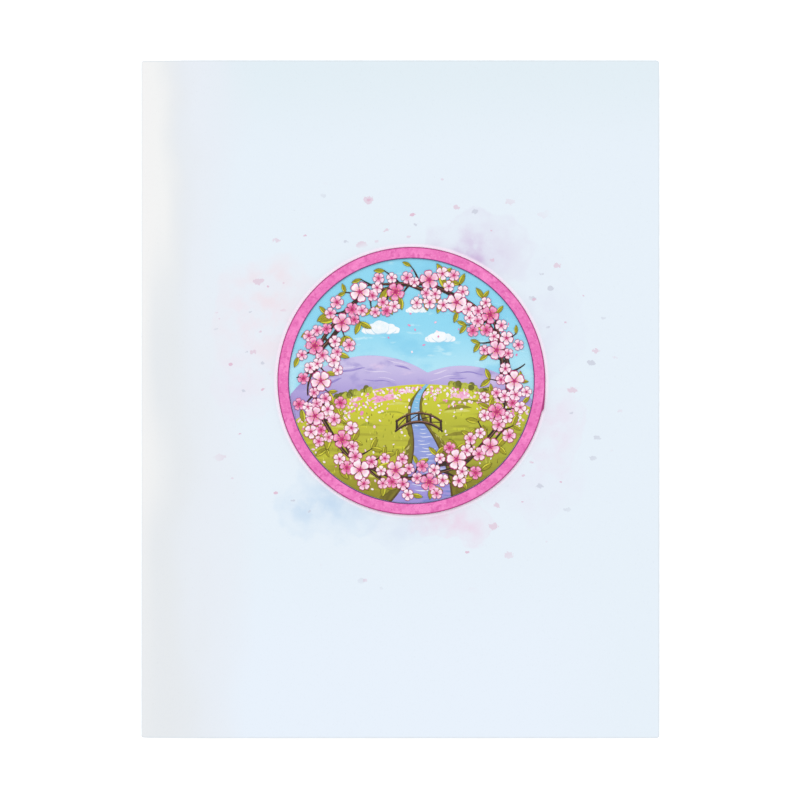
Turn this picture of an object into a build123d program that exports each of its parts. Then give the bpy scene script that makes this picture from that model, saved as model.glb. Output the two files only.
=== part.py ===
from build123d import *

import math
import os

# A pop-up card, closed and lying on its back: one folded cover, a framed round picture
# on its front, and four scenery layers that lie flat inside, tied by folded straps.
# X runs from the spine to the fore edge, Y up the page and Z up from the table.
# The origin is on the table, under the middle of the card. All lengths are millimetres.

# Cover, one sheet of card folded once
CARD_WIDTH = 153.0
CARD_HEIGHT = 200.0
COVER_STOCK = 0.4
CORNER_RADIUS = 1.0
FOLD_RADIUS = 0.35  # inside the spine fold
SPINE_SLOPE = 14.0  # degrees, as the front panel leaves the fold
SPINE_BEND_RADIUS = 60.0  # where the front panel levels out over what it holds

# Round picture on the front: a sky-coloured disc, the picture on it and the ring that frames it
MEDALLION_X = 3.3
MEDALLION_Y = 5.4
RING_RADIUS = 39.5
RING_WIDTH = 3.4
RING_STOCK = 0.45
DISC_STOCK = 0.3
DISC_SETBACK = 0.3  # from the ring's outer edge
PICTURE_CLEARANCE = 0.1  # from the ring's inner edge
PRINT_DEPTH = 0.1  # of each layer of the picture

# Landscape in the picture, each rise as its middle, its crest and its radius
LEFT_HILL = (-12.0, 7.5, 30.0)
RIGHT_HILL = (15.0, 4.5, 26.0)
MEADOW = (4.0, -1.0, 75.0)
# Edges of the stream: an arc through three points, and where the arc that follows it ends
STREAM_LEFT = [(6.7, 0.5), (0.5, -6.0), (0.0, -13.0), (-12.0, -40.0)]
STREAM_RIGHT = [(7.3, 0.5), (2.6, -6.0), (4.2, -13.0), (12.0, -40.0)]
BRIDGE_X = 2.2
BRIDGE_Y = -14.5
BRIDGE_SPAN = 13.0
BRIDGE_RISE = 2.4
BRIDGE_RAIL = 2.6  # rail above deck
BRIDGE_BAR = 0.6
BRIDGE_POSTS = 5

# Wreath of twigs, leaves and blossoms around the landscape
WREATH_INSET = 7.5  # from the picture's edge to the hoop
TWIG_WIDTH = 0.9
TWIG_SWING = 2.4  # each twig's end, inside and outside the hoop
TWIG_SPAN = 44.0  # degrees
TWIG_COUNT = 5
LEAF_LENGTH = 4.8
LEAF_WIDTH = 1.9
LEAF_PITCH = 16.0
LEAF_OFFSET = 2.0
LEAF_TILT = 42.0  # degrees from the hoop's line
BLOSSOM_PITCH = 9.0
BLOSSOM_STAGGER = 1.8
BLOSSOM_DIAMETERS = {"blossoms_pale": 6.0, "blossoms_pink": 5.6, "blossoms_deep": 5.2}
PETALS = 5
PETAL_SPREAD = 43.0  # degrees across a petal's tip
PETAL_NOTCH = 0.5  # how far out the notch between two petals lies, as a share of the radius

# Scenery inside: each layer has a glue tab on the back panel, then stands up as the card opens
LAYER_STOCK = 0.3
STAGE_WIDTH = 160.0
FIRST_HINGE = 30.0  # from the spine fold to the first layer
LAYER_PITCH = 18.0
TAB = 6.0
CREASE_RADIUS = 2.0
BAND_MARGIN = 3.0  # plain band above the highest glued strap
HILL_COUNT = 3
HILL_RADIUS = 30.0
HILL_RISE = 26.0
FIR_COUNT = 5
FIR_TRUNK = 4.0
FIR_STEM = 5.0  # bare trunk between band and branches
FIR_WIDTH = 24.0
FIR_TIER = 16.0  # height of each of its tiers
FIR_TIERS = 3
FIR_STEP = 9.0  # from one tier to the next
ARBOUR_TRUNK = 8.0
ARBOUR_STEM = 8.0
ARBOUR_CROWN = 11.0
TULIP_COUNT = 5
TULIP_RADIUS = 4.0
TULIP_STEM = 8.0
TULIP_STALK = 1.6

# Straps, folded in three between a layer and the sheet above it
STRAP_STOCK = 0.2
STRAP_FOLD_GAP = 0.1
STRAP_WIDTH = 12.0
STRAP_SPREAD = 100.0  # between the two straps of a pair
STRAP_MARGIN = 2.0

# What follows from these sizes
LAYERS = ["layer_hills", "layer_firs", "layer_arbour", "layer_tulips"]
strap_pack = 3 * STRAP_STOCK + 2 * STRAP_FOLD_GAP
level_step = LAYER_STOCK + strap_pack
inner_top = COVER_STOCK + len(LAYERS) * level_step
closed_thickness = inner_top + COVER_STOCK
spine_x = -CARD_WIDTH / 2
fore_x = CARD_WIDTH / 2
fold_x = spine_x + COVER_STOCK + FOLD_RADIUS
ring_inner = RING_RADIUS - RING_WIDTH
picture_radius = ring_inner - PICTURE_CLEARANCE
wreath_radius = picture_radius - WREATH_INSET


def sheet(path, stock, width):
    """A sheet bent along a path in XZ, with its creases parallel to the spine."""
    section = Plane.XZ * trace(path, stock)
    return extrude(section, amount=width / 2, both=True)


# Cover: back panel, spine fold, ramp, bend and front panel, as one sheet


def cover_path():
    middle = COVER_STOCK / 2
    back = Line((fore_x, middle), (fold_x, middle))
    fold = JernArc(back @ 1, back % 1, FOLD_RADIUS + middle, SPINE_SLOPE - 180)
    slope = math.radians(SPINE_SLOPE)
    bend_rise = SPINE_BEND_RADIUS * (1 - math.cos(slope))
    ramp_rise = closed_thickness - middle - bend_rise - (fold @ 1).Y
    ramp = Line(fold @ 1, fold @ 1 + (fold % 1) * (ramp_rise / math.sin(slope)))
    bend = JernArc(ramp @ 1, ramp % 1, SPINE_BEND_RADIUS, -SPINE_SLOPE)
    front = Line(bend @ 1, (fore_x, (bend @ 1).Y))
    return [back, fold, ramp, bend, front]


cover_line = cover_path()
flat_x = (cover_line[-1] @ 0).X
cover = sheet(cover_line, COVER_STOCK, CARD_HEIGHT)
fore_corners = cover.edges().filter_by(Axis.Z).group_by(Axis.X)[-1]
nodes = {"cover_sheet": fillet(fore_corners, CORNER_RADIUS)}


# Round picture: each piece is drawn about the medallion's own middle, and laid on the front last


def flat_piece(outline, height, thickness):
    """A flat piece, its underside at this height over the front panel."""
    return Pos(0, 0, height) * extrude(outline, amount=thickness)


def polar(radius, degrees):
    angle = math.radians(degrees)
    return (radius * math.cos(angle), radius * math.sin(angle))


def rise(middle, crest, radius):
    return Pos(middle, crest - radius) * Circle(radius)


def stream_edge(points):
    upper = ThreePointArc(*points[:3])
    return [upper, TangentArc(upper @ 1, points[3], tangent=upper % 1)]


def stream_outline():
    source = Line(STREAM_LEFT[0], STREAM_RIGHT[0])
    mouth = Line(STREAM_LEFT[-1], STREAM_RIGHT[-1])
    return make_face([source, mouth] + stream_edge(STREAM_LEFT) + stream_edge(STREAM_RIGHT))


def bridge_outline():
    half = BRIDGE_SPAN / 2
    deck = ThreePointArc((-half, 0), (0, BRIDGE_RISE), (half, 0))
    bars = trace(deck, BRIDGE_BAR) + trace(Pos(0, BRIDGE_RAIL) * deck, BRIDGE_BAR)
    for step in range(BRIDGE_POSTS):
        foot = deck @ (step / (BRIDGE_POSTS - 1))
        bars += trace(Line(foot, foot + Vector(0, BRIDGE_RAIL)), BRIDGE_BAR)
    return Pos(BRIDGE_X, BRIDGE_Y) * bars


def twig_outline():
    hoop = Circle(wreath_radius + TWIG_WIDTH / 2) - Circle(wreath_radius - TWIG_WIDTH / 2)
    for step in range(TWIG_COUNT):
        start = 360 * step / TWIG_COUNT
        root = polar(wreath_radius - TWIG_SWING, start)
        middle = polar(wreath_radius, start + TWIG_SPAN / 2)
        tip = polar(wreath_radius + TWIG_SWING, start + TWIG_SPAN)
        hoop += trace(ThreePointArc(root, middle, tip), TWIG_WIDTH)
    return hoop


def leaf_outline():
    radius = (LEAF_LENGTH**2 + LEAF_WIDTH**2) / (4 * LEAF_WIDTH)
    offset = radius - LEAF_WIDTH / 2
    return Pos(0, offset) * Circle(radius) & Pos(0, -offset) * Circle(radius)


def blossom_outline(diameter):
    """Petals with rounded tips, and a notch between each two."""
    radius = diameter / 2
    pitch = 360 / PETALS
    edges = []
    for petal in range(PETALS):
        middle = petal * pitch
        end = polar(radius, middle + PETAL_SPREAD / 2)
        notch = polar(radius * PETAL_NOTCH, middle + pitch / 2)
        edges.append(ThreePointArc(polar(radius, middle - PETAL_SPREAD / 2), polar(radius, middle), end))
        edges.append(Line(end, notch))
        edges.append(Line(notch, polar(radius, middle + pitch - PETAL_SPREAD / 2)))
    return make_face(edges)


def wreath_copies(piece, count, offset, tilt):
    """Copies of a piece around the hoop, by turns outside and inside it."""
    copies = []
    for step in range(count):
        side = 1 - 2 * (step % 2)
        turn = Rot(0, 0, 360 * step / count)
        copies.append(turn * Pos(wreath_radius + side * offset, 0) * Rot(0, 0, 90 - side * tilt) * piece)
    return copies


field_top = DISC_STOCK + PRINT_DEPTH
twig_top = field_top + PRINT_DEPTH
leaf_top = twig_top + PRINT_DEPTH

medallion = {
    "picture_disc": flat_piece(Circle(RING_RADIUS - DISC_SETBACK), 0, DISC_STOCK),
    "medallion_ring": flat_piece(Circle(RING_RADIUS) - Circle(ring_inner), DISC_STOCK, RING_STOCK),
    "footbridge": flat_piece(bridge_outline(), field_top, PRINT_DEPTH),
    "twig_wreath": flat_piece(twig_outline(), field_top, PRINT_DEPTH),
}

picture = Circle(picture_radius)
ground = picture & rise(*MEADOW)
stream = ground & stream_outline()
banks = (ground - stream).faces().sort_by(Axis.X)
fields = {
    "far_hills": (picture & (rise(*LEFT_HILL) + rise(*RIGHT_HILL))) - ground,
    "stream_field": stream,
    "left_bank": banks[0],
    "right_bank": banks[-1],
}
for name, outline in fields.items():
    medallion[name] = flat_piece(outline, DISC_STOCK, PRINT_DEPTH)

hoop_length = 2 * math.pi * wreath_radius
leaf = flat_piece(leaf_outline(), twig_top, PRINT_DEPTH)
leaf_count = 2 * int(hoop_length / (2 * LEAF_PITCH))
medallion["wreath_leaves"] = Compound(wreath_copies(leaf, leaf_count, LEAF_OFFSET, LEAF_TILT))

tones = len(BLOSSOM_DIAMETERS)
blossom_count = 2 * tones * int(hoop_length / (2 * tones * BLOSSOM_PITCH))
for tone, (name, diameter) in enumerate(BLOSSOM_DIAMETERS.items()):
    flower = flat_piece(blossom_outline(diameter), leaf_top, PRINT_DEPTH)
    copies = wreath_copies(flower, blossom_count, BLOSSOM_STAGGER, 0)
    medallion[name] = Compound(copies[tone::tones])

front_place = Pos(MEDALLION_X, MEDALLION_Y, closed_thickness)
for name, piece in medallion.items():
    nodes[name] = front_place * piece


# Scenery: a layer's height is measured from its hinge, along X


def hinge_x(layer):
    return fold_x + FIRST_HINGE + layer * LAYER_PITCH


def level(layer):
    """Underside of a layer; the one nearest the spine lies on top."""
    return COVER_STOCK + (len(LAYERS) - 1 - layer) * level_step


ramp = LAYER_PITCH - TAB


def strap_height(layer):
    """Height at which the straps above a layer are glued, clear of every ramp."""
    clear_of_ramp = ramp + TAB + STRAP_MARGIN
    clear_of_spine = flat_x - fold_x + STRAP_MARGIN
    return max(clear_of_ramp, clear_of_spine) if layer == 0 else clear_of_ramp


def band_height(layer):
    tops = [strap_height(layer)]
    if layer + 1 < len(LAYERS):
        tops.append(strap_height(layer + 1) + TAB)
    return max(tops) + BAND_MARGIN


def spaced(count, width):
    """Places across the stage for this many things of this width, the outer ones at its ends."""
    pitch = (STAGE_WIDTH - width) / (count - 1)
    return [pitch * (step - (count - 1) / 2) for step in range(count)]


def post(top, width, across):
    return Pos(0, across) * Rectangle(top, width, align=(Align.MIN, Align.CENTER))


def hill_shapes(band):
    places = spaced(HILL_COUNT, 2 * HILL_RADIUS)
    return [Pos(band + HILL_RISE - HILL_RADIUS, across) * Circle(HILL_RADIUS) for across in places]


def fir_shapes(band):
    shapes = []
    half = FIR_WIDTH / 2
    for across in spaced(FIR_COUNT, FIR_WIDTH):
        shapes.append(post(band + FIR_STEM + FIR_TIER, FIR_TRUNK, across))
        for tier in range(FIR_TIERS):
            foot = band + FIR_STEM + tier * FIR_STEP
            corners = [(foot, across - half), (foot + FIR_TIER, across), (foot, across + half)]
            shapes.append(make_face(Polyline(*corners, close=True)))
    return shapes


def arbour_shapes(band):
    shapes = []
    crown = band + ARBOUR_STEM + ARBOUR_CROWN
    for across in spaced(2, 4 * ARBOUR_CROWN):
        shapes.append(post(crown, ARBOUR_TRUNK, across))
        shapes.append(Pos(crown + ARBOUR_CROWN, across) * Circle(ARBOUR_CROWN))
        for side in (-1, 1):
            shapes.append(Pos(crown, across + side * ARBOUR_CROWN) * Circle(ARBOUR_CROWN))
    return shapes


def tulip_outline():
    """A round cup with three points, as wide as it is high."""
    r = TULIP_RADIUS
    cup = ThreePointArc((0, -r), (-r, 0), (0, r))
    points = Polyline((0, r), (r, r), (r / 2, r / 2), (r, 0), (r / 2, -r / 2), (r, -r), (0, -r))
    return make_face([cup, points])


def tulip_shapes(band):
    shapes = []
    head = band + TULIP_STEM + TULIP_RADIUS
    for across in spaced(TULIP_COUNT, 2 * TULIP_RADIUS):
        shapes.append(post(head, TULIP_STALK, across))
        shapes.append(Pos(head, across) * tulip_outline())
    return shapes


def layer_sheet(layer, shapes):
    """A layer cut to its outline: glue tab, ramp up to its level and the flat scenery."""
    band = band_height(layer)
    outline = Pos(-TAB, 0) * Rectangle(band + TAB, STAGE_WIDTH, align=(Align.MIN, Align.CENTER))
    for shape in shapes(band):
        outline += shape
    hinge = hinge_x(layer)
    top = hinge + outline.bounding_box().max.X
    low = COVER_STOCK + LAYER_STOCK / 2
    high = level(layer) + LAYER_STOCK / 2
    if layer == len(LAYERS) - 1:
        path = Line((hinge - TAB, low), (top, low))
    else:
        corners = [(hinge - TAB, low), (hinge, low), (hinge + ramp, high), (top, high)]
        path = FilletPolyline(*corners, radius=CREASE_RADIUS)
    blank = sheet(path, LAYER_STOCK, STAGE_WIDTH)
    return blank & extrude(Pos(hinge, 0) * outline, amount=closed_thickness)


def strap(layer, across):
    """A strap folded in three: glued under the sheet above, and on top of its own layer."""
    upper_hinge = hinge_x(layer - 1) if layer else fold_x
    start = upper_hinge + strap_height(layer)
    end = hinge_x(layer) + strap_height(layer)
    step = STRAP_STOCK + STRAP_FOLD_GAP
    top = level(layer) + level_step - STRAP_STOCK / 2
    upper = [(start + TAB, top), (start, top)]
    wall = [(start, top - step), (end, top - step)]
    lower = [(end, top - 2 * step), (end - TAB, top - 2 * step)]
    return Pos(0, across) * sheet(Polyline(*upper, *wall, *lower), STRAP_STOCK, STRAP_WIDTH)


scenery = [hill_shapes, fir_shapes, arbour_shapes, tulip_shapes]
for layer, name in enumerate(LAYERS):
    nodes[name] = layer_sheet(layer, scenery[layer])
    for end, side in (("lower", -1), ("upper", 1)):
        nodes[f"{name}_strap_{end}"] = strap(layer, side * STRAP_SPREAD / 2)

os.makedirs("parts", exist_ok=True)
for name, part in nodes.items():
    export_step(part, f"parts/{name}.step")
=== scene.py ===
import math
import random

import bmesh
import bpy
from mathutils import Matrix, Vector


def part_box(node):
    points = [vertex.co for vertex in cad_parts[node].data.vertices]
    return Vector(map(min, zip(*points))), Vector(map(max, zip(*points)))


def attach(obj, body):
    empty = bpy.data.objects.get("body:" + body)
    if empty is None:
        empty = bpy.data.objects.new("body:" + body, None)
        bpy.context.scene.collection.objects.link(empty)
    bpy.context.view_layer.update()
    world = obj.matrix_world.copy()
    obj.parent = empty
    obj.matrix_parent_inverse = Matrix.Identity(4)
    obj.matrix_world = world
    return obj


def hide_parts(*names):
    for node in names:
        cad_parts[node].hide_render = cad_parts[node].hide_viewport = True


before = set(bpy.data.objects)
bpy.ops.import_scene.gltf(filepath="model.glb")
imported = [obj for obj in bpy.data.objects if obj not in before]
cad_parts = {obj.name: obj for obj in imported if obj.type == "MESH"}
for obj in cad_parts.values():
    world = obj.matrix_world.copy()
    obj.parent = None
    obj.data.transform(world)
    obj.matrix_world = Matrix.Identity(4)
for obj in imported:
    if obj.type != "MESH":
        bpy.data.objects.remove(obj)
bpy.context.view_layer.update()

# Cover: one sheet of white card, creased once at the spine and printed outside in a pale blue. Beside
# the fold the blue turns grey white, partly print fading out and partly painted light on the bend,
# with a slightly darker band of painted shade where the bend flattens. The back panel lies flat, and
# the front panel leaves the fold at a slope and levels out over what the card holds. All four
# corners are rounded a little.
MM = 0.001
STUDIO_LIGHT = 1.14
COVER_STOCK = 0.4
FOLD_RADIUS = 0.35
SPINE_SLOPE = math.radians(14)
SPINE_BEND_RADIUS = 60
CORNER_RADIUS = 1
EDGE_ROUNDING = 0.05
FRONT_DIP = 0.25
COVER_ROWS = 81
EDGE_TONE_WIDTH = 0.7
WASH_STIR = 17
DROPS_START = (41, 44)
DROPS_END = (66, 54)
RING_PAINTED_LIGHT = (40.8, 39.6)

cover_low, cover_high = (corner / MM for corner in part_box("cover_sheet"))
disc_low, disc_high = (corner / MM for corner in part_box("picture_disc"))
picture_middle = (disc_low + disc_high) / 2


def spread(start, end, count):
    """Evenly spaced numbers, both ends among them."""
    return [start + (end - start) * step / (count - 1) for step in range(count)]


def around(count):
    """Angles evenly spaced round a full turn."""
    return spread(0, math.tau, count + 1)[:-1]


def polar(radius, angle):
    return (radius * math.cos(angle), radius * math.sin(angle))


def arc(middle, radius, start, end, count):
    """Points of an arc between two angles."""
    offsets = [polar(radius, angle) for angle in spread(start, end, count)]
    return [(middle[0] + x, middle[1] + y) for x, y in offsets]


def run(start, end, count):
    """Points of a straight run."""
    return list(zip(spread(start[0], end[0], count), spread(start[1], end[1], count)))


def smooth(value, low, high):
    """From 0 at low to 1 at high, easing in and out."""
    share = min(1, max(0, (value - low) / (high - low)))
    return share * share * (3 - 2 * share)


def cover_line():
    """The sheet's middle line in X and Z, from the back's fore edge round to the front's."""
    back_z = COVER_STOCK / 2
    front_z = cover_high.z - COVER_STOCK / 2
    fold_middle = (cover_low.x + COVER_STOCK + FOLD_RADIUS, COVER_STOCK + FOLD_RADIUS)
    fold = arc(fold_middle, FOLD_RADIUS + back_z, -math.pi / 2, SPINE_SLOPE - 1.5 * math.pi, 17)
    bend_rise = SPINE_BEND_RADIUS * (1 - math.cos(SPINE_SLOPE))
    ramp_rise = front_z - bend_rise - fold[-1][1]
    ramp_end = (fold[-1][0] + ramp_rise / math.tan(SPINE_SLOPE), front_z - bend_rise)
    bend_middle = (ramp_end[0] + SPINE_BEND_RADIUS * math.sin(SPINE_SLOPE), front_z - SPINE_BEND_RADIUS)
    bend = arc(bend_middle, SPINE_BEND_RADIUS, math.pi / 2 + SPINE_SLOPE, math.pi / 2, 13)
    corner_x = cover_high.x - CORNER_RADIUS
    corner = [corner_x + CORNER_RADIUS * math.sin(a) for a in spread(0, math.pi / 2, 7)]
    back = [(x, back_z) for x in reversed(corner)]
    back += run((corner_x, back_z), (fold_middle[0], back_z), 61)[1:-1]
    front = run(bend[-1], (corner_x, front_z), 53)[1:-1]
    front += [(x, front_z) for x in corner]
    return back + fold + run(fold[-1], ramp_end, 6)[1:-1] + bend + front


def half_length(x):
    """Half the sheet's length at this distance across it, less at the rounded corners."""
    past = min(CORNER_RADIUS, max(0, abs(x) - cover_high.x + CORNER_RADIUS))
    return cover_high.y - CORNER_RADIUS + math.sqrt(CORNER_RADIUS**2 - past**2)


def front_dip(x, y, z):
    """How far the front panel sinks away from the picture, where little holds it up."""
    if z < cover_high.z / 2:
        return 0
    away = math.hypot(x - picture_middle.x, y - picture_middle.y)
    return FRONT_DIP * smooth(away, 44, 95) * smooth(x, -50, 0) * (0.7 + 0.3 * math.sin(y / 23))


def add_object(name, data):
    """An object in the scene that shows this mesh, light or camera."""
    added = bpy.data.objects.new(name, data)
    bpy.context.scene.collection.objects.link(added)
    return added


def add_shape(name, shape, finishes):
    """An object from a finished shape."""
    mesh = bpy.data.meshes.new(name)
    shape.to_mesh(mesh)
    shape.free()
    for finish in finishes:
        mesh.materials.append(finish)
    return add_object(name, mesh)


def new_piece(name, shape, finishes, place=(0, 0, 0)):
    """A piece from a finished shape, riding on the card."""
    piece = add_shape(name, shape, finishes)
    piece.location = Vector(place) * MM
    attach(piece, "root")
    return piece


def round_edges(piece, width):
    """Takes the sharpness off the edges of a piece and leaves its flat faces alone."""
    rounding = piece.modifiers.new("edges", "BEVEL")
    rounding.width = width * MM
    rounding.segments = 2
    rounding.limit_method = "ANGLE"
    rounding.angle_limit = math.radians(60)
    rounding.harden_normals = True


def grid_faces(shape, rows):
    """Fills the quads between rows of vertices."""
    for near, far in zip(rows, rows[1:]):
        for i in range(len(near) - 1):
            shape.faces.new((near[i], near[i + 1], far[i + 1], far[i]))


def pigment(red, green, blue):
    """The paint that looks like this screen colour under the studio light."""
    linear = []
    for level in (red, green, blue):
        share = level / 255
        value = share / 12.92 if share <= 0.04045 else ((share + 0.055) / 1.055) ** 2.4
        linear.append(value / STUDIO_LIGHT)
    return (*linear, 1)


class Finish:
    """A paper finish as it is mixed: its nodes, and the colour that they give so far."""

    def __init__(self, name, colour):
        self.material = bpy.data.materials.new(name)
        self.material.use_nodes = True
        self.tree = self.material.node_tree
        self.shader = self.tree.nodes["Principled BSDF"]
        self.colour = colour
        self.place = self.scaled(self.add("ShaderNodeTexCoord").outputs["Object"], 1 / MM)
        self.x, self.y, self.z = self.add("ShaderNodeSeparateXYZ", {0: self.place}).outputs

    def add(self, kind, values=None, **settings):
        """A node with these settings; values are sockets to join to or plain values to set."""
        node = self.tree.nodes.new(kind)
        for setting, value in settings.items():
            setattr(node, setting, value)
        for socket, value in (values or {}).items():
            if isinstance(value, bpy.types.NodeSocket):
                self.tree.links.new(value, node.inputs[socket])
            else:
                node.inputs[socket].default_value = value
        return node

    def number(self, operation, first, second=0):
        return self.add("ShaderNodeMath", {0: first, 1: second}, operation=operation).outputs[0]

    def vector(self, operation, first, second):
        return self.add("ShaderNodeVectorMath", {0: first, 1: second}, operation=operation).outputs[0]

    def scaled(self, offset, factor):
        return self.add("ShaderNodeVectorMath", {0: offset, "Scale": factor}, operation="SCALE").outputs[0]

    def away(self, place, middle, width=2, height=2):
        """Distance in plan from a point, in halves of a width across and of a height along."""
        offset = self.vector("SUBTRACT", place, (*middle, 0))
        shares = self.vector("MULTIPLY", offset, (2 / width, 2 / height, 0))
        return self.add("ShaderNodeVectorMath", {0: shares}, operation="LENGTH").outputs["Value"]

    def times(self, *shares):
        """Shares multiplied together."""
        product = shares[0]
        for share in shares[1:]:
            product = self.number("MULTIPLY", product, share)
        return product

    def fade(self, value, start, end, low=0, high=1):
        """Eases from low, where the value is start, to high, where it is end."""
        limits = {"Value": value, "From Min": start, "From Max": end, "To Min": low, "To Max": high}
        return self.add("ShaderNodeMapRange", limits, interpolation_type="SMOOTHSTEP").outputs[0]

    def noise(self, size, detail=4, stretch=(1, 1, 1), shift=(0, 0, 0)):
        """Soft random light and dark in patches of about this many millimetres, plain and in colours."""
        spot = self.vector("MULTIPLY", self.vector("ADD", self.place, shift), stretch)
        return self.add("ShaderNodeTexNoise", {"Vector": spot, "Scale": 1 / size, "Detail": detail}).outputs

    def mottle(self, size, detail=4, stretch=(1, 1, 1), shift=(0, 0, 0)):
        return self.noise(size, detail, stretch, shift)[0]

    def paint(self, colour, share, mode="MIX"):
        """Lays another colour over what is there, by this share."""
        values = {0: share, 6: self.colour, 7: colour}
        self.colour = self.add("ShaderNodeMix", values, data_type="RGBA", blend_type=mode).outputs[2]

    def blotch(self, colour, share, low, high, size, detail=4, stretch=(1, 1, 1), shift=(0, 0, 0)):
        """Lays a colour on in random blotches: none where the noise is low, this share where it is high."""
        self.paint(colour, self.fade(self.mottle(size, detail, stretch, shift), low, high, 0, share))

    def paper(self, roughness=0.6, grain=0.35, depth=0.012):
        """Adds the fibres of the paper to colour, gloss and relief, and hands over the material."""
        fibres = self.mottle(grain, 4, (1, 0.55, 1))
        cockle = self.mottle(9, 2)
        self.paint((0.86, 0.86, 0.86, 1), self.fade(fibres, 0.56, 0.8, 0, 0.32), "MULTIPLY")
        dull = self.fade(self.mottle(2.2, 3), 0.3, 0.7, roughness - 0.07, roughness + 0.07)
        relief = {"Height": fibres, "Distance": depth * MM, "Strength": 0.7}
        fine = self.add("ShaderNodeBump", relief).outputs[0]
        relief = {"Height": cockle, "Distance": 0.05 * MM, "Strength": 0.5, "Normal": fine}
        broad = self.add("ShaderNodeBump", relief).outputs[0]
        for socket, value in {"Base Color": self.colour, "Roughness": dull, "Normal": broad}.items():
            self.tree.links.new(value, self.shader.inputs[socket])
        self.shader.inputs["Specular IOR Level"].default_value = 0.25
        return self.material


def on_front(finish):
    """1 on the front panel, 0 on the back."""
    return finish.fade(finish.z, 2.5, 3)


def washes(finish, patches, blur, gathered):
    """Patches of thin watercolour: cloudy inside, with ragged edges where the paint has gathered."""
    stir = finish.vector("SUBTRACT", finish.noise(12, 7)[1], (0.5, 0.5, 0.5))
    stirred = finish.vector("ADD", finish.place, finish.scaled(stir, WASH_STIR))
    clouds = finish.fade(finish.mottle(6, 7), 0.36, 0.66, 0.3, 1)
    front = on_front(finish)
    for x, y, width, height, colour, strength in patches:
        away = finish.away(stirred, (x, y), width, height)
        depth = finish.times(finish.fade(away, 1, 0.1, 0.3, 1), clouds)
        tone = finish.number("ADD", depth, finish.fade(away, 0.78, 0.95, 0, gathered))
        body = finish.fade(away, 1, 1 - blur, 0, strength)
        finish.paint(pigment(*colour), finish.times(body, tone, front))


def droplets(finish, away, layers):
    """Small splashed drops around the picture, drawn out along one direction in each layer."""
    wobble = finish.fade(finish.mottle(0.8, 3), 0.2, 0.8, -0.02, 0.12)
    near = finish.times(finish.fade(away, *DROPS_START), finish.fade(away, *DROPS_END), on_front(finish))
    for pitch, lean, shift, colour, share, strength in layers:
        layout = {0: finish.place, "Location": shift, "Rotation": (0, 0, lean), "Scale": (0.72, 1.15, 0)}
        grid = {"Vector": finish.add("ShaderNodeMapping", layout).outputs[0], "Scale": 1 / pitch}
        cells = finish.add("ShaderNodeTexVoronoi", grid, voronoi_dimensions="2D").outputs
        chances = finish.add("ShaderNodeSeparateColor", {0: cells["Color"]}).outputs
        reach = finish.number("ADD", finish.times(chances[0], 0.13), wobble)
        drop = finish.fade(finish.number("SUBTRACT", reach, cells["Distance"]), 0, 0.03)
        kept = finish.fade(chances[1], share + 0.01, share, 0, strength)
        finish.paint(pigment(*colour), finish.times(drop, kept, near))


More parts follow.
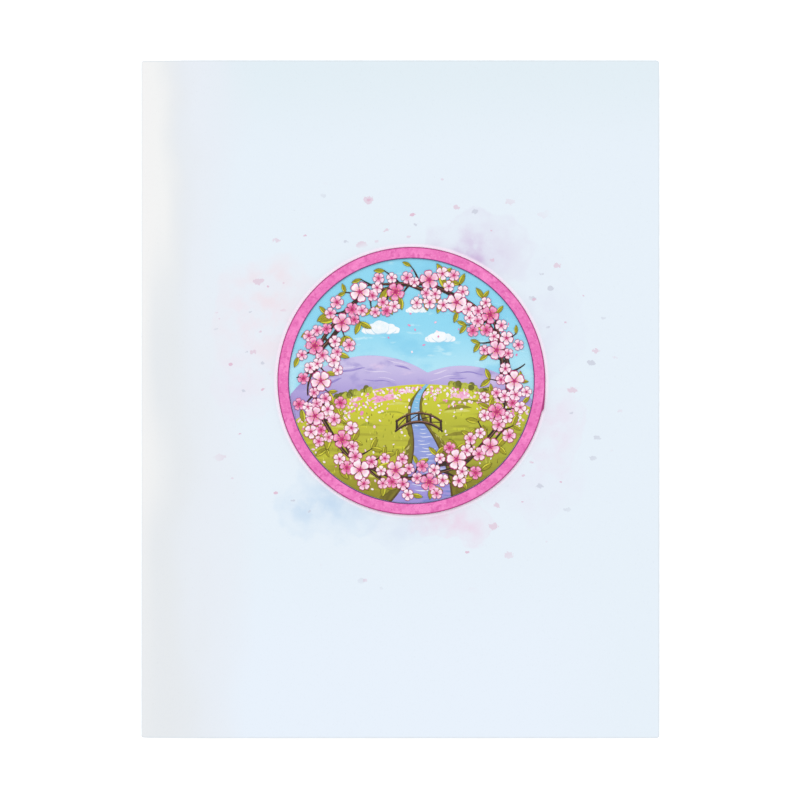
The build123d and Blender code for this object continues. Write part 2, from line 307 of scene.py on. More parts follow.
def cover_print():
    """The outside: pale blue, white beside the fold with painted light and shade of the bend, a wash and
    drops, and a painted light margin at the ring.
    """
    finish = Finish("cover_print", pigment(231, 241, 250))
    finish.paint(pigment(226, 238, 245), finish.fade(finish.y, 70, 100, 0, 0.9))
    low_middle = finish.times(finish.fade(finish.y, -40, -80, 0, 0.8), finish.fade(finish.x, 75, 35))
    finish.paint(pigment(233, 242, 253), low_middle)
    # Towards the fold the blue turns grey white: partly print fading out, partly painted light where the
    # sheet bends down to the fold. The slightly darker band a little further from the fold is painted shade.
    wander = finish.fade(finish.mottle(34, 3, (1, 0.5, 1)), 0.2, 0.8, -6, 6)
    across = finish.number("ADD", finish.x, wander)
    upper_part = finish.fade(finish.y, 12, 60, 0.05, 1)
    finish.paint(pigment(232, 238, 246), finish.fade(across, -44, -58))
    finish.paint(pigment(229, 233, 237), finish.fade(across, -56, -68))
    finish.paint(pigment(242, 243, 243), finish.times(finish.fade(across, -61, -71), upper_part))
    lower_fold_print_and_light = finish.away(finish.place, (-76, -19), 24, 52)
    finish.paint(pigment(242, 243, 243), finish.fade(lower_fold_print_and_light, 1, 0.1, 0, 0.7))
    along_fold = finish.number("ADD", finish.x, finish.times(wander, 0.3))
    fold_print_and_light = finish.times(finish.fade(along_fold, -71, -75.5), finish.fade(finish.y, -110, 50, 0.15, 0.95))
    finish.paint(pigment(243, 243, 243), fold_print_and_light)
    patches = [
        (23, 44, 36, 25, (220, 212, 234), 0.75),
        (42, 24, 22, 40, (225, 230, 245), 0.6),
        (-38, 22, 38, 44, (239, 230, 239), 0.85),
        (-46, 4, 22, 24, (235, 231, 243), 0.7),
        (-21, -31, 36, 25, (205, 225, 244), 0.9),
        (2, -38, 28, 14, (217, 227, 244), 0.6),
        (17, -36, 24, 15, (236, 213, 233), 0.85),
        (39, -25, 32, 22, (231, 230, 245), 0.6),
        (46, -10, 17, 24, (235, 225, 241), 0.8),
    ]
    washes(finish, patches, 0.16, 0.18)
    cores = [
        (21, 41, 28, 20, (205, 180, 221), 0.95),
        (-37, 33, 27, 20, (241, 221, 228), 0.42),
        (-21, -33, 23, 16, (192, 216, 240), 0.42),
    ]
    washes(finish, cores, 0.8, 0)
    layers = [
        (7, 0.5, (3, 1, 0), (226, 206, 222), 0.15, 0.85),
        (5, -0.7, (31, 17, 0), (204, 208, 222), 0.1, 0.8),
        (3.4, 1.2, (57, 43, 0), (224, 186, 208), 0.05, 0.85),
    ]
    away = finish.away(finish.place, picture_middle.xy)
    droplets(finish, away, layers)
    # A near-white margin just outside the ring, brighter than the paper: painted light over the ring's soft
    # shadow on the cover.
    finish.paint(pigment(268, 254, 268), finish.times(finish.fade(away, *RING_PAINTED_LIGHT), on_front(finish)))
    # Darker grey in patches along the ends and the fore edge, and a darker line along the fold's edge, which
    # is painted shade where the fold turns away.
    ends = finish.fade(finish.number("ABSOLUTE", finish.y), cover_high.y - EDGE_TONE_WIDTH, cover_high.y)
    fore_edge = finish.fade(finish.x, cover_high.x - EDGE_TONE_WIDTH, cover_high.x)
    edge_patches = finish.fade(finish.mottle(1.6, 4, shift=(6, 6, 0)), 0.3, 0.7, 0.5, 1)
    edge_grey = pigment(221, 228, 234)
    finish.paint(edge_grey, finish.times(finish.number("MAXIMUM", ends, fore_edge), edge_patches))
    finish.paint(edge_grey, finish.fade(finish.x, cover_low.x + EDGE_TONE_WIDTH, cover_low.x, 0, 0.6))
    return finish.paper(0.55)


def plain_paper(name, colour, shade):
    """Paper dyed one colour, clouded a little towards another shade."""
    finish = Finish(name, pigment(*colour))
    finish.blotch(pigment(*shade), 1, 0.35, 0.72, 14)
    return finish.paper(0.66)


shape = bmesh.new()
cover_rows = []
for x, z in cover_line():
    row = []
    for y in spread(-half_length(x), half_length(x), COVER_ROWS):
        row.append(shape.verts.new(Vector((x, y, z - front_dip(x, y, z))) * MM))
    cover_rows.append(row)
grid_faces(shape, cover_rows[::-1])
for face in shape.faces:
    face.smooth = True
inside_white = plain_paper("inside_white", (247, 247, 245), (243, 243, 242))
cut_edge = plain_paper("cut_edge", (243, 243, 240), (232, 233, 233))
cover = new_piece("cover", shape, [cover_print(), inside_white, cut_edge])
thickness = cover.modifiers.new("stock", "SOLIDIFY")
thickness.thickness = COVER_STOCK * MM
thickness.offset = 0
thickness.material_offset = 1
thickness.material_offset_rim = 2
round_edges(cover, EDGE_ROUNDING)
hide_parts("cover_sheet")

# Scenery inside: four sheets of coloured paper that lie flat between the panels, each glued
# to the back panel by its tab, and narrow white straps folded in three that tie each layer
# to the sheet above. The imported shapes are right, so they keep them and get dyed papers.
layer_papers = {
    "layer_hills": plain_paper("paper_lilac", (214, 205, 236), (203, 192, 229)),
    "layer_firs": plain_paper("paper_green", (204, 212, 140), (190, 200, 122)),
    "layer_arbour": plain_paper("paper_pink", (246, 196, 219), (240, 180, 209)),
    "layer_tulips": plain_paper("paper_rose", (243, 178, 208), (236, 160, 196)),
}
strap_paper = plain_paper("strap_white", (246, 246, 243), (239, 239, 236))
for layer, layer_paper in layer_papers.items():
    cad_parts[layer].material_slots[0].material = layer_paper
    for end in ("lower", "upper"):
        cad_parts[f"{layer}_strap_{end}"].material_slots[0].material = strap_paper

# Picture disc: a round of thin card glued to the front panel, printed as a clear spring sky.
# The rest of the picture lies on it in thin layers of cut paper.
# Everything in the picture is drawn about the disc's own middle.
PICTURE_RADIUS = 36.0
DISC_SIDES = 180
DISC_ROUNDING = 0.03


def on_disc(name, shape, finishes):
    """A piece drawn about the disc's middle."""
    return new_piece(name, shape, finishes, (picture_middle.x, picture_middle.y, 0))


def cut_paper(name, outlines, finishes):
    """Flat paper pieces as one object; each outline comes with its bottom, top and finish number."""
    shape = bmesh.new()
    for outline, bottom, top, number in outlines:
        turn = sum(a[0] * b[1] - b[0] * a[1] for a, b in zip(outline, outline[1:] + outline[:1]))
        points = outline if turn > 0 else outline[::-1]
        low = [shape.verts.new(Vector((x, y, bottom)) * MM) for x, y in points]
        high = [shape.verts.new(Vector((x, y, top)) * MM) for x, y in points]
        faces = [shape.faces.new(high), shape.faces.new(low[::-1])]
        for i in range(len(points)):
            j = (i + 1) % len(points)
            faces.append(shape.faces.new((low[i], low[j], high[j], high[i])))
        for face in faces:
            face.material_index = number
    return on_disc(name, shape, finishes)


def picture_print(name, ground, bands, marks, roughness=0.6):
    """Printed paper: a ground, bands of colour that come in up or down it, and dry brush marks."""
    finish = Finish(name, pigment(*ground))
    for colour, *limits in bands:
        finish.paint(pigment(*colour), finish.fade(finish.y, *limits))
    for colour, *amounts in marks:
        finish.blotch(pigment(*colour), *amounts)
    return finish.paper(roughness)


sky_bands = [((186, 233, 248), 18, -2)]
sky_marks = [
    ((134, 209, 240), 0.7, 0.5, 0.72, 7, 6, (0.6, 1, 1)),
    ((206, 241, 251), 0.7, 0.6, 0.74, 2.2, 5, (0.4, 1.2, 1), (4, 9, 0)),
]
sky_print = picture_print("sky_print", (146, 218, 244), sky_bands, sky_marks, 0.55)
disc_radius = (disc_high.x - disc_low.x) / 2
disc_edge = [polar(disc_radius, a) for a in around(DISC_SIDES)]
disc = cut_paper("sky_disc", [(disc_edge, disc_low.z, disc_high.z, 0)], [sky_print])
round_edges(disc, DISC_ROUNDING)
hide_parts("picture_disc")

# Landscape: far hills, two grassy banks and the stream between them, each cut from its own
# paper to meet its neighbours edge to edge. The hills are soft lilac, the banks yellow green
# going to olive, and the stream runs from sky blue to lilac under the bridge.
LEFT_HILL = (-12, 7.5, 30)
RIGHT_HILL = (15, 4.5, 26)
MEADOW = (4, -1, 75)
STREAM_LEFT = [(6.7, 0.5), (0.5, -6), (0, -13), (-12, -40)]
STREAM_RIGHT = [(7.3, 0.5), (2.6, -6), (4.2, -13), (12, -40)]
PRINT_DEPTH = 0.1
field_low = disc_high.z
field_top = disc_high.z + PRINT_DEPTH


def crest(rise, x):
    """Height of a rounded rise at this distance across the picture."""
    middle, top, radius = rise
    across = min(radius, abs(x - middle))
    return top - radius + math.sqrt(radius**2 - across**2)


def skyline(x):
    return max(crest(LEFT_HILL, x), crest(RIGHT_HILL, x), crest(MEADOW, x))


def within(x, y, gap=0):
    """Whether a point lies in the picture, this far from its round edge."""
    return math.hypot(x, y) < PICTURE_RADIUS - gap


def trim(points):
    """Points brought in to the picture's round edge."""
    kept = []
    for x, y in points:
        share = min(1, PICTURE_RADIUS / max(0.01, math.hypot(x, y)))
        kept.append((x * share, y * share))
    return kept


def arc_between(middle, start, end, way, count):
    """Points of the arc from one point to another about a middle, turning this way."""
    radius = math.hypot(start[0] - middle[0], start[1] - middle[1])
    first, last = (math.atan2(y - middle[1], x - middle[0]) for x, y in (start, end))
    return arc(middle, radius, first, first + way * ((last - first) * way % math.tau), count)


def arc_through(first, second, third, count):
    """Points of the arc through three points, and the direction in which it ends."""
    (ax, ay), (bx, by), (cx, cy) = first, second, third
    scale = 2 * (ax * (by - cy) + bx * (cy - ay) + cx * (ay - by))
    a, b, c = (x * x + y * y for x, y in (first, second, third))
    middle_x = (a * (by - cy) + b * (cy - ay) + c * (ay - by)) / scale
    middle_y = (a * (cx - bx) + b * (ax - cx) + c * (bx - ax)) / scale
    way = math.copysign(1, scale)
    radius = math.hypot(cx - middle_x, cy - middle_y)
    heading = (-way * (cy - middle_y) / radius, way * (cx - middle_x) / radius)
    return arc_between((middle_x, middle_y), first, third, way, count), heading


def arc_on(start, heading, end, count):
    """Points of the arc that leaves a point in this direction and ends at another."""
    across = (-heading[1], heading[0])
    chord = (end[0] - start[0], end[1] - start[1])
    radius = (chord[0] ** 2 + chord[1] ** 2) / (2 * (chord[0] * across[0] + chord[1] * across[1]))
    middle = (start[0] + radius * across[0], start[1] + radius * across[1])
    return arc_between(middle, start, end, math.copysign(1, radius), count)


def stream_edge(points):
    """One edge of the stream, from the meadow's crest down to the picture's edge."""
    upper, heading = arc_through(*points[:3], 40)
    edge = upper + arc_on(points[2], heading, points[3], 60)[1:]
    return [(x, y) for x, y in edge if y < crest(MEADOW, x) and within(x, y)]


def meadow_line(start, end, count):
    return [(x, crest(MEADOW, x)) for x in spread(start, end, count)]


def rim(start, end, count):
    """The picture's round edge between the directions of two points, the short way round."""
    first, last = (math.atan2(y, x) for x, y in (start, end))
    turn = (last - first + math.pi) % math.tau - math.pi
    return arc((0, 0), PICTURE_RADIUS, first, first + turn, count)


def grass_print(name, light, deep, dark):
    """Yellow green along the crest, deeper lower down, in strokes that follow the slope."""
    bands = [(deep, -4, -17), (dark, -19, -33, 0, 0.85)]
    marks = [
        (dark, 0.4, 0.55, 0.67, 2.4, 5, (0.16, 1.3, 1)),
        (light, 0.75, 0.56, 0.68, 2.6, 5, (0.3, 1.3, 1), (12, 5, 0)),
    ]
    return picture_print(name, light, bands, marks)


left_edge = stream_edge(STREAM_LEFT)
right_edge = stream_edge(STREAM_RIGHT)
meadow_left = next(p for p in meadow_line(-PICTURE_RADIUS, 0, 400) if within(*p))
meadow_right = next(p for p in meadow_line(PICTURE_RADIUS, 0, 400) if within(*p))
hill_top = [(x, skyline(x)) for x in spread(-PICTURE_RADIUS, PICTURE_RADIUS, 145)]
hill_foot = meadow_line(PICTURE_RADIUS, -PICTURE_RADIUS, 73)
hills = hill_top + run(hill_top[-1], hill_foot[0], 12)[1:-1]
hills += hill_foot + run(hill_foot[-1], hill_top[0], 12)[1:-1]
left_bank = meadow_line(meadow_left[0], left_edge[0][0], 60) + left_edge
left_bank += rim(left_edge[-1], meadow_left, 40)
right_bank = right_edge[::-1] + meadow_line(right_edge[0][0], meadow_right[0], 50)
right_bank += rim(meadow_right, right_edge[-1], 40)
stream = left_edge[::-1] + right_edge + rim(right_edge[-1], left_edge[-1], 24)[1:-1]
hill_bands = [((206, 196, 234), -6, 7)]
hill_marks = [
    ((152, 140, 206), 0.6, 0.5, 0.68, 5, 6, (0.8, 1.2, 1)),
    ((226, 205, 236), 0.8, 0.58, 0.74, 4.5, 4, (0.5, 1, 1), (7, 3, 0)),
]
hill_print = picture_print("hill_print", (172, 156, 216), hill_bands, hill_marks)
water_bands = [((146, 160, 220), -6, -17), ((163, 150, 218), -18, -32)]
water_marks = [
    ((104, 128, 200), 0.75, 0.54, 0.7, 2.4, 4, (0.28, 1.6, 1)),
    ((200, 206, 240), 0.8, 0.58, 0.7, 2, 4, (0.22, 1.9, 1), (5, 2, 0)),
]
water_print = picture_print("water_print", (128, 190, 228), water_bands, water_marks, 0.5)
grass_left = grass_print("grass_left", (212, 211, 54), (188, 187, 58), (142, 134, 38))
grass_right = grass_print("grass_right", (204, 206, 56), (176, 177, 56), (128, 120, 36))
landscape = {
    "far_hills": ("hills", trim(hills), hill_print, "hill_lilac"),
    "left_bank": ("bank_left", left_bank, grass_left, "meadow_green"),
    "right_bank": ("bank_right", right_bank, grass_right, "bank_olive"),
    "stream_field": ("stream", stream, water_print, "stream_blue"),
}
for node, (name, outline, finish, slot) in landscape.items():
    field = cut_paper(name, [(outline, field_low, field_top, 0)], [finish])
    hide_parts(node)

# Clouds: three small heaped clouds in opaque white, each puff with a pale blue shade at its foot.
# They are thin paint laid straight on the disc.
CLOUDS = [(-9, 14.5, 10.5), (8.5, 12, 8.5), (1.5, 20.5, 6)]
CLOUD_PUFFS = [
    (-0.82, 0.08, 0.26), (0.8, 0.1, 0.27), (-0.48, 0.16, 0.42), (0.46, 0.18, 0.4), (-0.05, 0.26, 0.52),
]


def brush_paint(name, colour, shade, size=1.2):
    """Thick paint from a brush, streaked with a second shade."""
    finish = Finish(name, pigment(*colour))
    finish.blotch(pigment(*shade), 1, 0.46, 0.66, size)
    return finish.paper(0.55, depth=0.006)


def painted(name, strokes, slot, **paints):
    """Painted strokes as one piece; each of its paints has a colour, a second shade and maybe a size."""
    cut_paper(name, strokes, [brush_paint(paint, *mix) for paint, mix in paints.items()])


def cloud_puff(x, y, radius, ripple):
    """Outline of one rounded puff, wider than it is tall and a little uneven."""
    points = []
    for a in around(36):
        reach = radius * (1 + 0.05 * math.sin(5 * a + ripple))
        points.append((x + reach * math.cos(a), y + 0.72 * reach * math.sin(a)))
    return points


clouds = []
for x, y, wide in CLOUDS:
    half = wide / 2
    for i, (aside, lift, size) in enumerate(CLOUD_PUFFS):
        for shade, drop, growth in ((1, -0.09, 1), (0, 0, 0.97)):
            middle = (x + aside * half, y + (lift + drop * size) * half)
            puff = cloud_puff(*middle, size * growth * half, 2 * i + x)
            clouds.append((puff, field_low, field_low + 0.01 + 0.004 * i - 0.002 * shade, shade))
painted(
    "clouds", clouds, "sky_blue",
    cloud_white=((250, 253, 255), (234, 247, 253), 2.5),
    cloud_shade=((196, 228, 246), (184, 222, 244), 2.5),
)

# Ripples: white strokes across the stream, longer and thicker towards its near end.
# They are opaque paint from a fine brush, as are all the strokes on the landscape's papers.
STROKE_DEPTH = 0.02
LEVEL_STEP = 0.0002
RIPPLES = 26
chance = random.Random(11)


def bent(start, end, bulge, count):
    """Points of a line between two points that bows to its left by this much."""
    points = []
    length = math.hypot(end[0] - start[0], end[1] - start[1])
    across = (-(end[1] - start[1]) / length, (end[0] - start[0]) / length)
    for share, (x, y) in zip(spread(0, 1, count), run(start, end, count)):
        bow = 4 * bulge * share * (1 - share)
        points.append((x + across[0] * bow, y + across[1] * bow))
    return points


def stroke(line, first, middle, last):
    """Outline of a brush line with these widths at its start, middle and end."""
    left, right = [], []
    final = len(line) - 1
    for i, (x, y) in enumerate(line):
        before, after = line[max(0, i - 1)], line[min(final, i + 1)]
        along = (after[0] - before[0], after[1] - before[1])
        length = math.hypot(*along)
        t = i / final
        width = first * (1 - t) * (1 - 2 * t) + 4 * middle * t * (1 - t) + last * t * (2 * t - 1)
        aside = (-along[1] / length * width / 2, along[0] / length * width / 2)
        left.append((x + aside[0], y + aside[1]))
        right.append((x - aside[0], y - aside[1]))
    return left + right[::-1]


def lay(strokes, outline, number, depth=STROKE_DEPTH, step=LEVEL_STEP):
    """Adds a stroke on the landscape's papers in one of a piece's paints, a step above the last one."""
    strokes.append((outline, field_top, field_top + depth + step * len(strokes), number))


def on_edge(edge, y):
    """Where a stream edge passes this height."""
    return min(edge, key=lambda point: abs(point[1] - y))[0]


ripples = []
for step in range(RIPPLES):
    y = -4 - 29 * (step / RIPPLES) ** 0.8
    low, high = on_edge(left_edge, y), on_edge(right_edge, y)
    wide = (high - low) * chance.uniform(0.25, 0.6)
    x = chance.uniform(low + 0.3, max(low + 0.35, high - wide - 0.3))
    line = bent((x, y), (x + wide, y + chance.uniform(-0.3, 0.3)), -0.07 * wide, 13)
    thick = 0.1 + 0.012 * wide + 0.012 * step * chance.uniform(0.3, 1)
    lay(ripples, stroke(line, 0.03, thick, 0.03), 0)
painted("ripples", ripples, "stream_blue", ripple_white=((238, 240, 252), (214, 218, 244)))

# Hill strokes: curved lines in a paler and a deeper lilac that follow the tops of the two hills
# and make them look round. Paint on the hills' paper.
HILL_STROKES = 9
contours = []
for rise in (LEFT_HILL, RIGHT_HILL):
    for step in range(HILL_STROKES):
        depth = 1 + 0.9 * step
        reach = chance.uniform(4, 9)
        x = rise[0] + chance.uniform(-14, 14 - reach)
        line = [(u, crest(rise, u) - depth - 0.15 * math.sin(u)) for u in spread(x, x + reach, 15)]
        if all(crest(MEADOW, u) + 0.6 < v < skyline(u) - 0.5 and within(u, v, 1) for u, v in line):
            lay(contours, stroke(line, 0.05, chance.uniform(0.3, 0.6), 0.05), step % 2)
painted(
    "hill_contours", contours, "hill_lilac",
    hill_pale=((220, 210, 240), (208, 196, 234), 2),
    hill_deep=((150, 136, 204), (164, 150, 212), 2),
)

# Meadow strokes: long low folds of ground on both banks, in olive, green and pale yellow green.
# Paint in overlapping layers on the banks' papers.
MEADOW_STROKES = 22


def inside_bank(x, y, gap):
    """Whether a point lies on grass, this far from the stream and the picture's edge."""
    if y > crest(MEADOW, x) - gap or not within(x, y, gap):
        return False
    return x < on_edge(left_edge, y) - gap or x > on_edge(right_edge, y) + gap


folds = []
while len(folds) < MEADOW_STROKES:
    x, y = chance.uniform(-33, 26), chance.uniform(-33, -4)
    reach = chance.uniform(4, 10)
    line = bent((x, y), (x + reach, y + chance.uniform(-0.8, 0.8)), chance.uniform(0.3, 0.9), 15)
    if all(inside_bank(u, v, 1.1) for u, v in line):
        lay(folds, stroke(line, 0.05, chance.uniform(0.5, 1.3), 0.05), len(folds) % 3, 0.003, 0.0004)
painted(
    "meadow_folds", folds, "meadow_green",
    fold_olive=((140, 134, 40), (156, 150, 48), 2),
    fold_green=((176, 178, 50), (164, 166, 46), 2),
    fold_pale=((216, 214, 110), (204, 204, 84), 2),
)

# Stream margins: bare earth along both shores, wider towards the near end, with a dark line at the
# water and pale streaks where the bank has slipped. Three paints, one over the other.
EARTH_DEPTH = 0.012
SHORE_LINE_DEPTH = 0.016
MARGIN_STREAKS = 9
margins = []
for edge, side in ((left_edge, 1), (right_edge, -1)):
    (x, y), (last_x, last_y) = edge[-2:]
    shore = trim(edge[3:] + [(3 * last_x - 2 * x, 3 * last_y - 2 * y)])
    back = []
    for x, y in shore:
        wide = 0.25 + 0.085 * -y * (1 + 0.35 * math.sin(0.9 * y + side) + 0.12 * math.sin(3.1 * y))
        if within(x - side * wide, y):
            back.append((x - side * wide, y))
    lay(margins, shore + rim(shore[-1], back[-1], 12)[1:] + back[::-1], 0, EARTH_DEPTH, 0)
    lay(margins, stroke(shore, 0.1, 0.4, 0.6), 1, SHORE_LINE_DEPTH, 0)
    for step in range(MARGIN_STREAKS):
        y = chance.uniform(-30, -9)
        x = on_edge(edge, y) - side * (0.25 + 0.05 * -y)
        streak = bent((x, y), (x - side * chance.uniform(0.6, 2), y - chance.uniform(0.8, 2.4)), 0.2, 9)
        if all(within(*point, 0.4) for point in streak):
            lay(margins, stroke(streak, 0.04, 0.2, 0.04), 2, STROKE_DEPTH + LEVEL_STEP * step, 0)
painted(
    "stream_margins", margins, "bank_olive",
    bank_earth=((126, 116, 36), (108, 98, 30), 2),
    bank_line=((88, 70, 32), (104, 86, 36)),
    bank_streak=((204, 194, 124), (186, 176, 96)),
)

# Hedges: low clumps of bushes along the crest of the meadow, dabbed on in three greens,
# the nearer and lower dabs over the farther ones.
HEDGE_PLACES = (-23, -20.5, -17, -13.5, 12.5, 15, 18.5, 22)
DABS = 9
hedges = []
for x in HEDGE_PLACES:
    dabs = [[chance.uniform(*limits) for limits in ((-1.5, 1.5), (0.1, 1.2), (0.5, 1))] for _ in range(DABS)]
    for i, (aside, lift, size) in enumerate(sorted(dabs, key=lambda dab: -dab[1])):
        middle = (x + aside, crest(MEADOW, x + aside) + lift - 0.2)
        lay(hedges, arc(middle, size, 0, math.tau, 25)[:-1], i % 3, step=0.0003)
painted(
    "hedges", hedges, "meadow_green",
    hedge_dark=((112, 112, 42), (98, 98, 38)),
    hedge_green=((150, 156, 52), (134, 140, 46)),
    hedge_light=((188, 192, 74), (170, 174, 62)),
)

# Grass tufts: short tapering blades all over the banks, taller towards the near side.
# One brush mark each, in three greens.
BLADES = 260
tufts = []
while len(tufts) < BLADES:
    x, y = chance.uniform(-34, 34), chance.uniform(-34, 0)
    if not inside_bank(x, y, 0.7):
        continue
    tall = chance.uniform(0.5, 1) * (0.8 + 0.03 * -y)
    lean = chance.uniform(-0.4, 0.4)
    blade = bent((x, y), (x + lean * tall, y + tall), lean * 0.3, 5)
    lay(tufts, stroke(blade, 0.24, 0.16, 0.03), len(tufts) % 3, step=0.00003)
painted(
    "grass_tufts", tufts, "meadow_green",
    blade_light=((222, 222, 92), (206, 206, 66)),
    blade_green=((160, 166, 44), (140, 146, 40)),
    blade_olive=((112, 108, 30), (126, 124, 38)),
)

# Petals: drifts of fallen petals along the crest of the meadow, painted as soft pink strokes, with
# single petals over them, thick near the crest and scattered below, and a few still in the air.
DRIFTS = 16
FALLEN_PETALS = 420
FLYING_PETALS = 30


def turned(points, x, y, turn):
    """Points turned about the origin, then moved to a place."""
    c, s = math.cos(turn), math.sin(turn)
    return [(x + c * u - s * v, y + s * u + c * v) for u, v in points]


def petal_fleck(x, y, long, wide, turn):
    """Outline of one fallen petal."""
    flat = [(long / 2 * math.cos(a), wide / 2 * math.sin(a)) for a in around(10)]
    return turned(flat, x, y, turn)


drifts = []
while len(drifts) < DRIFTS:
    x = chance.uniform(-34, 28)
    y = crest(MEADOW, x) - chance.uniform(1, 4.5)
    reach = chance.uniform(3, 7)
    line = bent((x, y), (x + reach, crest(MEADOW, x + reach) - crest(MEADOW, x) + y), 0.15, 13)
    if all(inside_bank(u, v, 0.9) for u, v in line):
        lay(drifts, stroke(line, 0.1, chance.uniform(0.6, 1.3), 0.1), len(drifts) % 2, step=0.0004)
painted(
    "petal_drifts", drifts, "blossom_pale",
    drift_pink=((245, 172, 210), (238, 150, 196)),
    drift_pale=((248, 194, 222), (242, 170, 208)),
)

flecks = []
while len(flecks) < FALLEN_PETALS:
    x = chance.uniform(-35, 35)
    y = crest(MEADOW, x) - abs(chance.gauss(0, 1)) * (1.7 + 0.1 * abs(x)) - 0.6
    if chance.random() < 0.2:
        y = chance.uniform(-33, -4)
    if not inside_bank(x, y, 0.5):
        continue
    long = chance.uniform(0.55, 1.1)
    outline = petal_fleck(x, y, long, long * chance.uniform(0.5, 0.8), chance.uniform(0, math.pi))
    lay(flecks, outline, chance.choice((0, 0, 0, 1, 1, 2)), 2 * STROKE_DEPTH, 0.0001)
while len(flecks) < FALLEN_PETALS + FLYING_PETALS:
    x, y = chance.uniform(-34, 34), chance.uniform(2, 34)
    if skyline(x) + 1 < y and within(x, y, 1):
        long, wide = chance.uniform(0.6, 1), chance.uniform(0.4, 0.6)
        outline = petal_fleck(x, y, long, wide, chance.uniform(0, math.pi))
        height = field_low + STROKE_DEPTH + 0.0001 * len(flecks)
        flecks.append((outline, field_low, height, chance.choice((0, 1, 2))))
painted(
    "fallen_petals", flecks, "blossom_pale",
    petal_white=((252, 238, 246), (250, 222, 237)),
    petal_pale=((248, 205, 227), (243, 186, 215)),
    petal_pink=((238, 150, 194), (230, 128, 180)),
)

# Footbridge: a small arched bridge over the stream, cut from dark brown paper, with a rail,
# posts and a deck, and lighter strokes along the upper sides of its bars.
BRIDGE_X = 2.2
BRIDGE_Y = -14.5
BRIDGE_SPAN = 13
BRIDGE_RISE = 2.4
BRIDGE_RAIL = 2.6
BRIDGE_BAR = 0.6
BRIDGE_POSTS = 5
BRIDGE_ROUNDING = 0.02
twig_top = field_top + PRINT_DEPTH


def deck_line(lift, overhang):
    """Points along the arched deck, lifted by this much and running on past the outer posts."""
    half = BRIDGE_SPAN / 2
    radius = (half**2 + BRIDGE_RISE**2) / (2 * BRIDGE_RISE)
    swing = math.asin(half / radius) + overhang / radius
    middle = (BRIDGE_X, BRIDGE_Y + BRIDGE_RISE - radius + lift)
    return arc(middle, radius, math.pi / 2 + swing, math.pi / 2 - swing, 33)


def bark(name, dark, warm, light):
    """Dark brown wood with warmer streaks and a few light ones."""
    finish = Finish(name, pigment(*dark))
    finish.blotch(pigment(*warm), 0.85, 0.48, 0.64, 0.9)
    finish.blotch(pigment(*light), 0.7, 0.64, 0.76, 0.6, 3, shift=(8, 2, 0))
    return finish.paper(0.55, depth=0.01)


def up_to_twigs(outline, rise, number):
    """An outline cut from paper on the landscape, this far above the level of the twigs."""
    return (outline, field_top, twig_top + rise, number)


wood_dark = bark("wood_dark", (54, 37, 32), (76, 50, 41), (116, 80, 64))
wood_light = brush_paint("wood_light", (158, 112, 88), (134, 92, 72))
deck = stroke(deck_line(0, 0.7), 0.5, 0.9, 0.5)
rail = stroke(deck_line(BRIDGE_RAIL, 0.4), BRIDGE_BAR, BRIDGE_BAR, BRIDGE_BAR)
bars = [up_to_twigs(deck, 0, 0), up_to_twigs(rail, -0.01, 0)]
feet = deck_line(0, 0)[:: 32 // (BRIDGE_POSTS - 1)]
for x, y in feet:
    post = [(x, y), (x, y + BRIDGE_RAIL + 0.5)]
    bars.append(up_to_twigs(stroke(post, BRIDGE_BAR * 1.2, BRIDGE_BAR, BRIDGE_BAR), -0.02, 0))
for (x, y), (next_x, next_y) in zip(feet, feet[1:]):
    brace = bent((x, y + 0.5), (next_x, next_y + BRIDGE_RAIL - 0.4), 0.1, 7)
    bars.append(up_to_twigs(stroke(brace, 0.25, 0.25, 0.25), -0.03, 0))
bars.append(up_to_twigs(stroke(deck_line(0.22, 0.4), 0.04, 0.24, 0.04), STROKE_DEPTH, 1))
bars.append(up_to_twigs(stroke(deck_line(BRIDGE_RAIL + 0.14, 0.1), 0.04, 0.2, 0.04), STROKE_DEPTH, 1))
bridge = cut_paper("bridge", bars, [wood_dark, wood_light])
round_edges(bridge, BRIDGE_ROUNDING)
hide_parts("footbridge")

# Wreath twigs: a hoop of thin twigs wound round the landscape, with five twigs that cross it
# and short side twigs that carry the blossoms. Dark brown paper with light strokes on its bark.
WREATH_RADIUS = 28.5
TWIG_WIDTH = 0.9
TWIG_SWING = 2.4
TWIG_SPAN = math.radians(44)
TWIG_COUNT = 5
HOOP_TWIGS = 6
HOOP_SPAN = 1.35
SIDE_TWIGS = 56


def long_twig(line, thick, tip, rise, shine_lift):
    """A twig that tapers to its tip, with a light stroke along its outer side."""
    shine = [polar(math.hypot(x, y) + shine_lift, math.atan2(y, x)) for x, y in line[3:-4]]
    body = stroke(line, TWIG_WIDTH * 1.5, TWIG_WIDTH * thick, tip)
    return [up_to_twigs(body, rise, 0), up_to_twigs(stroke(shine, 0.05, 0.2, 0.03), rise + 0.002, 1)]


